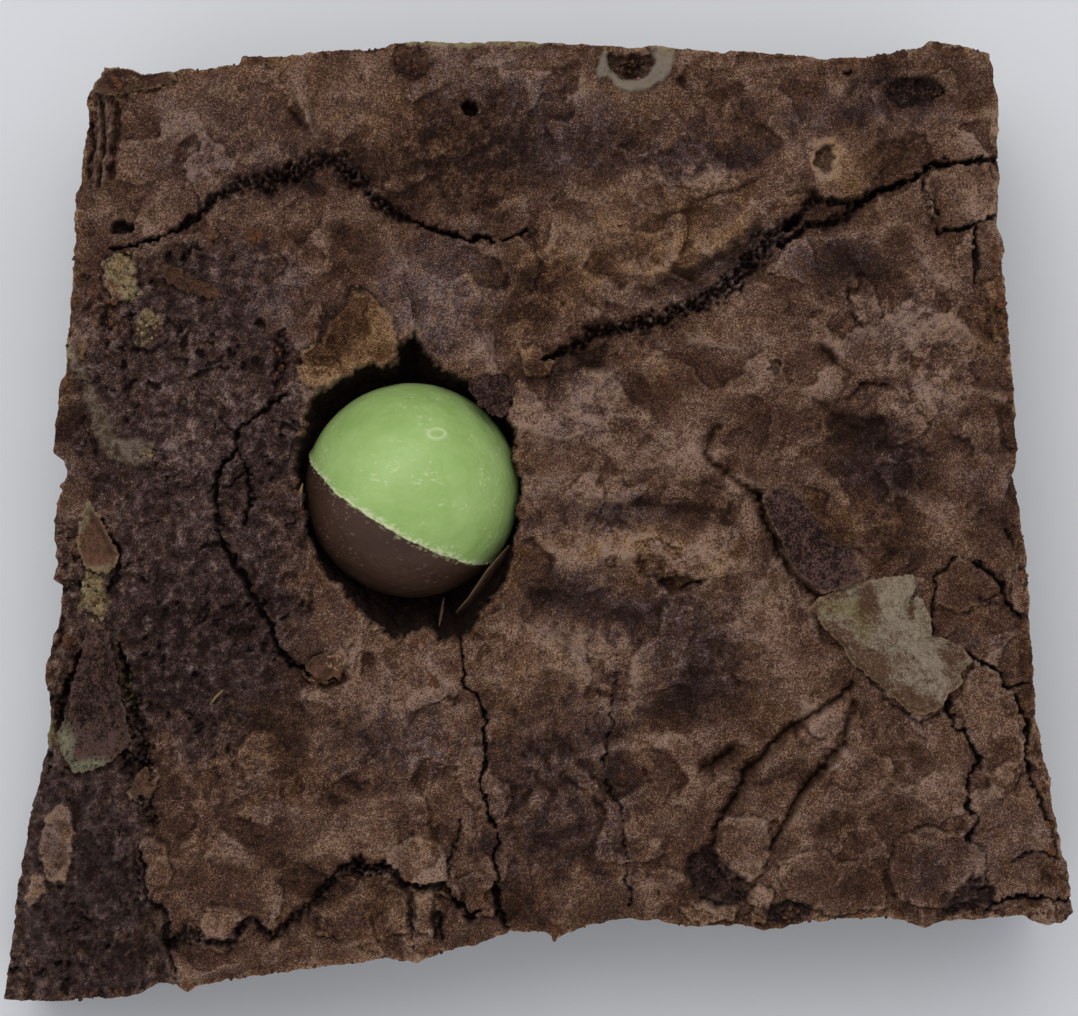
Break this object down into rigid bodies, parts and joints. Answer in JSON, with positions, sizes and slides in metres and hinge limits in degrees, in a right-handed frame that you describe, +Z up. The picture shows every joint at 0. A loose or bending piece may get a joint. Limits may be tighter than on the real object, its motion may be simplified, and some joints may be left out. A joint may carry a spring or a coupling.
{
  "type": "mint chocolate brownie",
  "caption": "Square hand-cut chocolate brownie with a cracked papery crust, a mint and chocolate ball set in it and a mint flake on top.",
  "frame": {"origin": "on the underside, under the middle of the brownie's plan", "axes": "+X along the longer plan side to the right, +Y to the back, +Z up"},
  "size_m": [0.0918, 0.0822, 0.0328],
  "materials": {
    "crust": "matt, papery and finely speckled baked crust over porous crumb",
    "mint_shell": "satin mint green chocolate with small pale scuffs",
    "chocolate_shell": "satin dark chocolate with pale scuffs",
    "mint_flake": "thin matt baked mint chocolate, grey green with brown speckles"
  },
  "bodies": {
    "root": {"brownie": "crust", "ball_mint_half": "mint_shell", "ball_chocolate_half": "chocolate_shell", "mint_flake": "mint_flake"}
  },
  "joints": []
}
